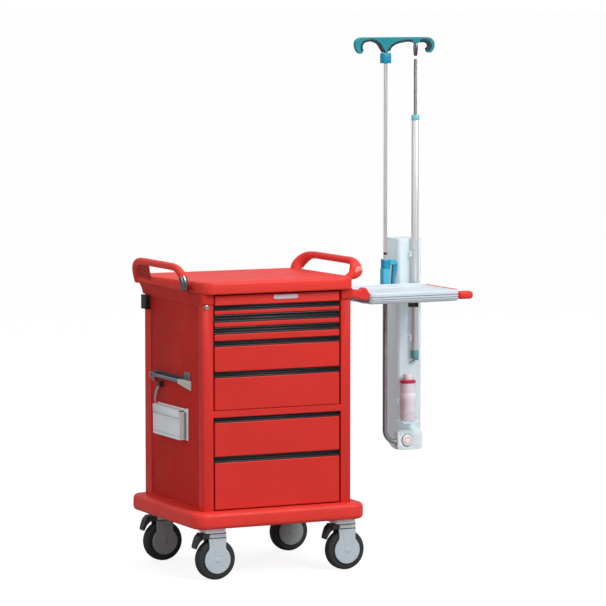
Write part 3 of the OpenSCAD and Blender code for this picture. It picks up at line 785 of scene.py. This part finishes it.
def caster_fork(name, x, y):
    fork, at, finish = f"caster_fork_{name}", (x, y, 0), COVER[name[0]]
    crown = slab(37, 28, 9, CROWN_LOW, CROWN_TOP, 2, 2, middle=(CROWN_MID, 0))
    make(f"caster_crown_{name}", shift(crown, at), "crown_plastic", fork, replaces=[fork], angle=45)
    for level, z in (("low", CROWN_LOW), ("high", CROWN_TOP - 3.4)):
        seam = slab(38, 29, 10, z - 0.2, z + 3.4, 1.2, 1.2, 3, (CROWN_MID, 0))
        make(f"caster_seam_{level}_{name}", shift(seam, at), "dark_plastic", fork, angle=45)
    for face, sign in FORK_SIDES.items():
        side = prism(cover_outline(), "y", *sorted((sign * COVER_IN, sign * COVER_OUT)))
        make(f"caster_cover_{face}_{name}", shift(side, at), finish, fork, bevel=2.4, segments=5,
             angle=40)
        rib = [(TRAIL - 24, CROWN_LOW - 4), (TRAIL - 5, WHEEL_R + 2), (TRAIL + 5, WHEEL_R + 2),
               (TRAIL + 24, CROWN_LOW - 4)]
        web = prism(rib, "y", *sorted((sign * 26, sign * 28.6)))
        make(f"caster_web_{face}_{name}", shift(web, at), finish, fork, bevel=1.2, segments=4,
             angle=50)
        cap = lathe([(0.5, 0), (9, 0), (10.5, -0.8 * sign), (11, -3 * sign)],
                    (x + TRAIL, y + sign * 29.4, WHEEL_R), "y")
        make(f"caster_axle_{face}_{name}", cap, finish, fork, angle=40)


def caster_brake(name, x, y):
    """Curved toe lever and the boss at its hinge, on the side the wheel trails away from."""
    pedal = f"brake_pedal_{name}"
    outer = smooth_path([(-21, 171), (-38, 171), (-51, 162), (-59, 143), (-63.5, 125), (-62, 118)], 5)
    inner = smooth_path([(-58, 118), (-52, 130), (-43, 143), (-31, 152), (-20, 154)], 5)
    lever = prism(outer + inner, "y", -18, 18)
    make(f"pedal_{name}", shift(lever, (x, y, 0)), "black_plastic", pedal, replaces=[pedal],
         bevel=2.2, segments=4, angle=50)
    boss = lathe([(4.6, -21), (7.6, -21), (7.6, 21), (4.6, 21)], (x + HINGE[0], y, HINGE[1]), "y", 28,
                 True)
    make(f"pedal_boss_{name}", boss, "black_plastic", pedal)
    for side, sign in FORK_SIDES.items():
        lug = [(HINGE[0] - 10, HINGE[1] - 8), (HINGE[0] - 10, HINGE[1] + 9), (0, HINGE[1] + 10),
               (0, HINGE[1] - 9)]
        arm = prism(lug, "y", *sorted((sign * 22.6, sign * 27.4)))
        make(f"caster_lug_{side}_{name}", shift(arm, (x, y, 0)), "dark_plastic", f"caster_fork_{name}",
             bevel=2, angle=50)


def caster_mounts():
    for k, (name, (x, y)) in enumerate(CORNERS.items()):
        block = slab(40, 40, 12, 175, 193, 3, 1, middle=(TRAIL / 2, 0))
        make(f"caster_mount_{name}", shift(block, (x, y, 0)), "mount_plastic",
             replaces=["caster_mounts"] if k == 0 else [], angle=45)


# ---------------- side tray

TRAY_LOW, TRAY_HIGH = cad_box_mm("side_tray")
GROOVES = (9, 16, 25)
PIVOT_X, PIVOT_Z = 372, 1003


def tray():
    """Shallow tray: a raised rim round a flat floor, grooves along its edge band filled dark as painted
    shade.
    """
    x0, x1 = 388, TRAY_HIGH.x
    y0, y1 = TRAY_LOW.y, TRAY_HIGH.y
    z = TRAY_LOW.z
    middle = ((x0 + x1) / 2, (y0 + y1) / 2)
    half_w, half_d = (x1 - x0) / 2, (y1 - y0) / 2
    levels = [(z, 9), (z + 2, 5), (z + 5, 1.6), (z + 8, 0.4)]
    for line in GROOVES:
        levels += [(z + line - 1.6, 0), (z + line - 1.1, 2.4), (z + line + 1.1, 2.4),
                   (z + line + 1.6, 0)]
    levels += [(z + 36, 0), (z + 39, 0.8), (z + 40.6, 2.6), (z + 40.8, 5), (z + 39.8, 8),
               (z + 36, 13), (z + 33.4, 19), (z + 33, 26)]
    board = loft(rings(levels, 16, half_w, half_d, middle=middle))
    make("tray_board", board, "tray_plastic", "side_tray", replaces=["side_tray"], angle=35)
    # Dark strips inside the grooves: painted shade.
    for k, line in enumerate(GROOVES):
        part = slab(half_w - 0.7, half_d - 0.7, 15, z + line - 1.2, z + line + 1.2, 0.1, 0.1, 1, middle)
        make(f"tray_groove_shade_{k + 1}", part, "painted_shade_dark", "side_tray")
    lip = brick((x0 + 10, y1 - 12, z + 30), (x1 - 10, y1 - 3, z + 46))
    make("tray_lip", lip, "tray_plastic", "side_tray", bevel=3, segments=4)
    knuckle = lathe([(6.3, y0 + 19), (10, y0 + 19), (10, y1 - 29), (6.3, y1 - 29)],
                    (PIVOT_X, 0, PIVOT_Z), "y", 32, True)
    make("tray_knuckle", knuckle, "tray_plastic", "side_tray")
    make("tray_tongue", brick((378, y0 + 19, z + 20), (396, y1 - 29, z + 32)), "tray_plastic",
         "side_tray", bevel=1.5)
    low, high = cad_box_mm("tray_latch")
    rail = brick((low.x - 38, y0 + 7, z - 0.5), (low.x + 92, high.y + 9, z + 3))
    make("latch_plate", rail, "tray_plastic", "side_tray", bevel=0.8)


def tray_brace():
    """Thin steel strip that falls from the cart's side to the tray's lower front edge."""
    y = TRAY_LOW.y + 2
    path = [(299, y, 1004, 2.4), (330, y, 994, 2.4), (352, y, 987, 2.2), (368, y, 983, 2.0)]
    make("tray_brace", sweep(smooth_path(path, 5), 12), "rail_steel", angle=60)


def tray_bumpers():
    low, high = cad_box_mm("tray_grips")
    for name, y in (("front", low.y + 22), ("rear", high.y - 22)):
        part = slab(31, 22, 16, low.z - 1, high.z - 2, 11, 11, 8, (low.x + 31, y))
        make(f"tray_bumper_{name}", part, "red_plastic", "side_tray",
             replaces=["tray_grips"] if name == "front" else [], angle=60)
    strip = brick((low.x - 5, low.y + 24, 1008), (low.x + 5, high.y - 30, 1019.5))
    make("tray_edge_strip", strip, "red_plastic", "side_tray", bevel=2.5, segments=4)


def tray_arms():
    """Red arms with a faceted knuckle that hold the tray's pivot."""
    low, high = cad_box_mm("tray_bracket")
    outline = [(306, 1008), (306, 1034), (318, 1037), (344, 1034), (359, 1042), (369, 1041),
               (387, 1015), (381, 1003), (370, 994), (352, 998), (330, 1006)]
    for name, y in (("front", low.y), ("rear", high.y - 28)):
        make(f"tray_arm_{name}", prism(outline, "y", y, y + 28), "red_plastic",
             replaces=["tray_bracket"] if name == "front" else [], bevel=3.5, segments=2, angle=25)
    pin = lathe([(0.5, 0), (3.9, 0), (3.9, high.y - low.y - 54), (0.5, high.y - low.y - 54)],
                (PIVOT_X, low.y + 27, PIVOT_Z), "y", 24)
    make("tray_pin", pin, "bright_steel")


# ---------------- infusion stand

POLE = cad_middle_mm("hook_knob")[:2]
ROD = cad_middle_mm("outer_tube")[:2]


def poles():
    left = lathe([(5.5, 760), (6.8, 761), (6.8, 1896), (6, 1897)], (*POLE, 0))
    make("left_pole", left, "pole_steel", "infusion_stand", replaces=["inner_poles"])
    rod = lathe([(5, 1010), (6.1, 1011), (6.1, 1870), (5, 1872)], (*ROD, 0))
    make("right_rod", rod, "dark_steel", "infusion_stand")
    ferrule = [(6.2, 1884), (6.8, 1887), (7.8, 1896), (8.7, 1908), (8.6, 1924), (6, 1934)]
    make("rod_ferrule", lathe(ferrule, (*ROD, 0)), "ferrule_metal", "infusion_stand", angle=60)
    collar = [(14.3, 1640.6), (14.9, 1641), (15.2, 1643), (15.2, 1657), (14, 1660), (11, 1661.5),
              (6.6, 1661.5), (6.6, 1640.6)]
    make("tube_collar_ring", lathe(collar, (*ROD, 0), closed=True), "pale_teal", "tube_collar",
         replaces=["tube_collar"], angle=40)
    end_cap()


def end_cap():
    """Cap on the outer tube's lower end, cut on a slant, with a small dark curve beside it: painted shade.
    """
    loops = []
    for low, radius in ((0, 9), (1, 13), (4, 15), (10, 15.8), (36, 15.8), (37, 14.2)):
        loop = []
        for k in range(28):
            a = 2 * math.pi * k / 28
            x, y = radius * math.cos(a), radius * math.sin(a)
            slant = (0.42 - 0.42 * low / 37) * -x
            loop.append((ROD[0] + x, ROD[1] + y, 727 + low + slant))
        loops.append(loop)
    make("tube_end_cap", loft(loops), "muted_teal", angle=50)
    # A thin dark curve beside the cap: painted shade.
    hook = [(736, 71, 727, 1.6), (728, 70, 723, 1.6), (719, 70, 720, 1.5), (712, 70, 714, 1.3)]
    make("end_cap_shade_curve", sweep(smooth_path(hook, 4), 10), "dark_plastic", angle=60)


def hook_bar():
    """Flat hook bar with a curl at both ends, a flared stem over the left pole and dark bands along the
    insides of its curls.
    """
    outline = [(503, 1894), (492, 1902), (485, 1916), (483, 1932), (488, 1945), (500, 1953),
               (520, 1955.4), (600, 1955.5), (700, 1955.5), (785, 1955), (806, 1950), (818, 1938),
               (820, 1922), (813, 1904), (801, 1896), (790, 1899), (787, 1907), (797, 1911),
               (802, 1920), (799, 1932), (790, 1940), (775, 1943), (760, 1942), (753, 1933),
               (731, 1933), (724, 1942), (697, 1943), (659, 1936), (634, 1923), (622, 1901),
               (621, 1897), (609, 1897), (607, 1901), (598, 1914), (583, 1934), (553, 1945),
               (526, 1942), (512, 1934), (508, 1922), (511, 1910), (515, 1901), (512, 1895)]
    foot, foot_top = (609, 621), 1898
    socket, socket_top = (731, 753), 1934
    curved = []  # rounded by in-between points, but for the stem's flat foot and the rod's socket
    for k, point in enumerate(outline):
        span = [outline[(k + d) % len(outline)] for d in (-1, 0, 1, 2)]
        curved.append(point)
        flat = any(foot[0] <= x <= foot[1] and z < foot_top for x, z in span[1:3])
        flat = flat or (socket[0] <= point[0] <= socket[1] and point[1] < socket_top)
        if not flat:
            curved.append(tuple((-a + 9 * b + 9 * c - d) / 16 for a, b, c, d in zip(*span)))
    make("hook_bar_body", prism(curved, "y", 71, 89), "teal_plastic", "infusion_stand",
         replaces=["hook_bar"], bevel=2.6, segments=4, angle=40)
    # Dark bands along the inner edges of the curls and arches.
    lines = {"left": [(514, 1903), (510, 1912), (510, 1924), (515, 1934), (527, 1941), (553, 1944),
                      (581, 1934), (596, 1915), (606, 1900)],
             "middle": [(624, 1904), (636, 1922), (660, 1934.5), (697, 1941.5), (724, 1941)],
             "right": [(761, 1941), (777, 1941.5), (791, 1938), (799, 1930), (801, 1920), (796, 1912),
                       (788, 1907)]}
    for side, line in lines.items():
        part = ribbon(smooth_path(line, 4), 13 if side == "right" else 9.5, 70, 90)
        make(f"hook_dark_band_{side}", part, "deep_teal", "infusion_stand", bevel=1.2, angle=50)


def hook_knob():
    """Turning knob under the hook bar, with a ribbed rim."""
    lobes = []
    for k in range(48):
        a = 2 * math.pi * k / 48
        rib = 2.0 if k % 3 == 0 else 0
        reach = 13 - rib
        lobes.append(((9 if math.cos(a) > 0 else -9) + reach * math.cos(a), reach * math.sin(a)))
    loops = []
    for z, scale in ((1857, 0.84), (1858.5, 0.95), (1861, 1.0), (1892, 1.0), (1895, 0.95),
                     (1896.4, 0.84)):
        loops.append([(POLE[0] + x * scale, POLE[1] + y * scale, z) for x, y in lobes])
    make("hook_knob_body", loft(loops), "blue_plastic", "hook_knob", replaces=["hook_knob"], angle=30)


def clamp():
    """Clamp on the left pole: dark block over a bright sleeve, and a lever that hangs beside it."""
    block = slab(14.5, 16, 5, 1079, 1114, 2, 4, 6, (617, 80))
    make("clamp_block", block, "clamp_plastic", replaces=["pole_clamp"], angle=50)
    top = slab(15.5, 17, 6, 1111, 1116, 1.8, 2.4, 6, (617, 80))
    make("clamp_rim", top, "sleeve_plastic", angle=50)
    sleeve = slab(15, 16.5, 7, 966, 1080, 3, 3, 6, (615, 81.5))
    make("clamp_sleeve", sleeve, "sleeve_plastic", angle=50)
    for k, y in enumerate((66, 89)):
        ear = [(628, 1096), (628, 1114.5), (644, 1114.5)] + arc((649, 1104), 9.5, 70, -110, 8)
        make(f"clamp_ear_{k + 1}", prism(ear, "y", y, y + 5), "sleeve_plastic", bevel=1.6, angle=50)
    x, z = 650, 1104
    outer = smooth_path([(x - 4, z + 8), (x + 4, z + 8.5), (x + 11, z + 2), (x + 14, z - 12),
                         (x + 11, z - 36), (x + 5, z - 62), (x + 3, z - 86), (x - 1, z - 96)], 4)
    inner = smooth_path([(x - 7, z - 95), (x - 8, z - 78), (x - 7, z - 58), (x - 5, z - 34),
                         (x - 4, z - 14), (x - 9, z - 2)], 4)
    make("clamp_lever_body", prism(outer + inner, "y", 72, 88), "clamp_plastic", "clamp_lever",
         replaces=["clamp_lever"], bevel=3, segments=4, angle=50)
    ridge = [(px - 0.6, 80, pz, 7, 1.8) for px, pz in outer[4:-3]]
    make("clamp_lever_rim", sweep(ridge, 14, (0, 1, 0)), "sleeve_plastic", "clamp_lever", angle=60)
    ring = lathe([(6.7, 1133), (7.1, 1133.4), (7.1, 1141.6), (6.7, 1142)], (*POLE, 0), closed=True)
    make("pole_ring", ring, "dark_plastic", "infusion_stand")


def bottle():
    x, y = cad_middle_mm("bottle")[:2]
    z = round(cad_box_mm("bottle")[0].z, 1)
    shell = [(20, z), (26, z), (28.6, z + 3), (29.5, z + 8), (29.5, z + 138), (28.6, z + 145),
             (20, z + 147)]
    make("bottle_shell", lathe(shell, (x, y, 0)), "bottle_plastic", "bottle", replaces=["bottle"],
         angle=50)
    label = [(29.4, z + 40), (29.8, z + 41), (29.8, z + 108), (29.4, z + 109)]
    make("bottle_label", lathe(label, (x, y, 0), closed=True), "print_plastic", "bottle", angle=50)
    band = [(20, z + 145), (29.8, z + 145.6), (30.2, z + 148), (30, z + 156), (25, z + 158),
            (18, z + 158.6)]
    make("bottle_band", lathe(band, (x, y, 0)), "band_plastic", "bottle", angle=50)
    cap = [(12, z + 157), (18, z + 158), (18.6, z + 161), (18.6, z + 174), (17, z + 179),
           (10, z + 180)]
    make("bottle_cap", lathe(cap, (x, y, 0)), "cap_plastic", "bottle", angle=50)


def button():
    """Round call button with a thin painted ring on its face, ringed by a dark band of painted shadow."""
    low, high = cad_box_mm("call_button")
    x, z = (low.x + high.x) / 2, (low.z + high.z) / 2
    y = low.y
    face = [(0.5, y), (17, y), (20, y + 0.8), (22, y + 3), (22.3, y + 8), (20, y + 14)]
    make("call_button_cap", lathe(face, (x, 0, z), "y"), "white_plastic", "call_button",
         replaces=["call_button"], angle=40)
    ring = [(12, y - 0.25), (14.4, y - 0.25), (14.4, y + 0.4), (12, y + 0.4)]
    make("call_button_ring", lathe(ring, (x, 0, z), "y", 40, True), "ring_paint", "call_button")
    # A dark ring round the button: painted shadow.
    shadow_ring_y = cad_box_mm("button_block")[0].y
    shadow_ring = [(22.7, shadow_ring_y - 1.2), (24.4, shadow_ring_y - 1.0), (25.6, shadow_ring_y + 0.4), (22.7, shadow_ring_y + 0.4)]
    make("call_button_shadow_ring", lathe(shadow_ring, (x, 0, z), "y", 48, True), "painted_shade_dark")


# ---------------- floor, light and camera

def studio():
    """Pale seamless floor: white to the camera, darker to other rays so that it throws little light
    up at the cart."""
    size = 300
    mesh = bpy.data.meshes.new("floor")
    mesh.from_pydata([(-size, -size, 0), (size, -size, 0), (size, size, 0), (-size, size, 0)], [],
                     [(0, 1, 2, 3)])
    floor_material()
    mesh.materials.append(MATERIALS["floor_paint"])
    add("floor", mesh)


def floor_material():
    tree, shader = new_material("floor_paint")
    to_camera = tree.nodes.new("ShaderNodeLightPath").outputs["Is Camera Ray"]
    seen = ramp(tree, noise(tree, 0.6), grey(0.90), grey(0.93))
    tree.links.new(mix(tree, to_camera, grey(0.36), seen), shader.inputs["Base Color"])
    shader.inputs["Roughness"].default_value = 0.9
    glow = tree.nodes.new("ShaderNodeEmission")
    glow.inputs["Strength"].default_value = 1.1
    blend = tree.nodes.new("ShaderNodeMixShader")
    amount = tree.nodes.new("ShaderNodeMath")
    amount.operation = "MULTIPLY"
    amount.inputs[1].default_value = 0.8
    tree.links.new(to_camera, amount.inputs[0])
    for k, source in enumerate((amount, shader, glow)):
        tree.links.new(source.outputs[0], blend.inputs[k])
    tree.links.new(blend.outputs[0], tree.nodes["Material Output"].inputs["Surface"])


def area_light(name, location, target, size, power):
    data = bpy.data.lights.new(name, "AREA")
    data.shape = "RECTANGLE"
    data.size, data.size_y = size
    data.energy = power
    light = add(name, data)
    light.location = location
    light.rotation_euler = (Vector(target) - Vector(location)).to_track_quat("-Z", "Y").to_euler()


def world(strength):
    """Sky dome, darker towards the horizon so that metal shows dark edges; white to the camera."""
    made = bpy.data.worlds.new("studio")
    bpy.context.scene.world = made
    made.use_nodes = True
    tree = made.node_tree
    background = tree.nodes["Background"]
    coords = tree.nodes.new("ShaderNodeTexCoord")
    split = tree.nodes.new("ShaderNodeSeparateXYZ")
    tree.links.new(coords.outputs["Generated"], split.inputs[0])
    tone = ramp(tree, split.outputs["Z"], grey(0.5 * strength), grey(strength), 0.0, 0.6)
    to_camera = tree.nodes.new("ShaderNodeLightPath").outputs["Is Camera Ray"]
    tree.links.new(mix(tree, to_camera, tone, grey(1.0)), background.inputs["Color"])
    background.inputs["Strength"].default_value = 1.0


def camera():
    yaw, down = math.radians(25.70), math.radians(5.13)
    look = Vector((math.sin(yaw) * math.cos(down), math.cos(yaw) * math.cos(down), -math.sin(down)))
    data = bpy.data.cameras.new("camera")
    data.lens = 205.8
    data.sensor_width = 36
    data.clip_end = 400
    made = add("camera", data)
    made.location = (-5.348, -11.591, 2.125)
    made.rotation_euler = look.to_track_quat("-Z", "Y").to_euler()
    bpy.context.scene.camera = made


base()
deck()
handles()
for number in DRAWERS:
    drawer(number)
shelf_front()
rail_brackets()
tether()
box_dark_lines()
caster_mounts()
for corner_name, (corner_x, corner_y) in CORNERS.items():
    caster_wheel(corner_name, corner_x, corner_y)
    caster_fork(corner_name, corner_x, corner_y)
    caster_brake(corner_name, corner_x, corner_y)
tray()
tray_brace()
tray_bumpers()
tray_arms()
poles()
hook_bar()
hook_knob()
clamp()
bottle()
button()

studio()
world(0.62)
area_light("key", (2.2, -5.2, 4.8), (0.1, 0, 0.7), (3.0, 3.0), 340)
area_light("fill", (-5.0, -2.0, 2.5), (0.4, 0, 1.0), (2.5, 3.0), 55)
area_light("top", (0.3, 0.5, 5.0), (0.2, 0, 1.0), (3.0, 3.0), 70)
camera()
bpy.context.scene.view_settings.view_transform = "Standard"
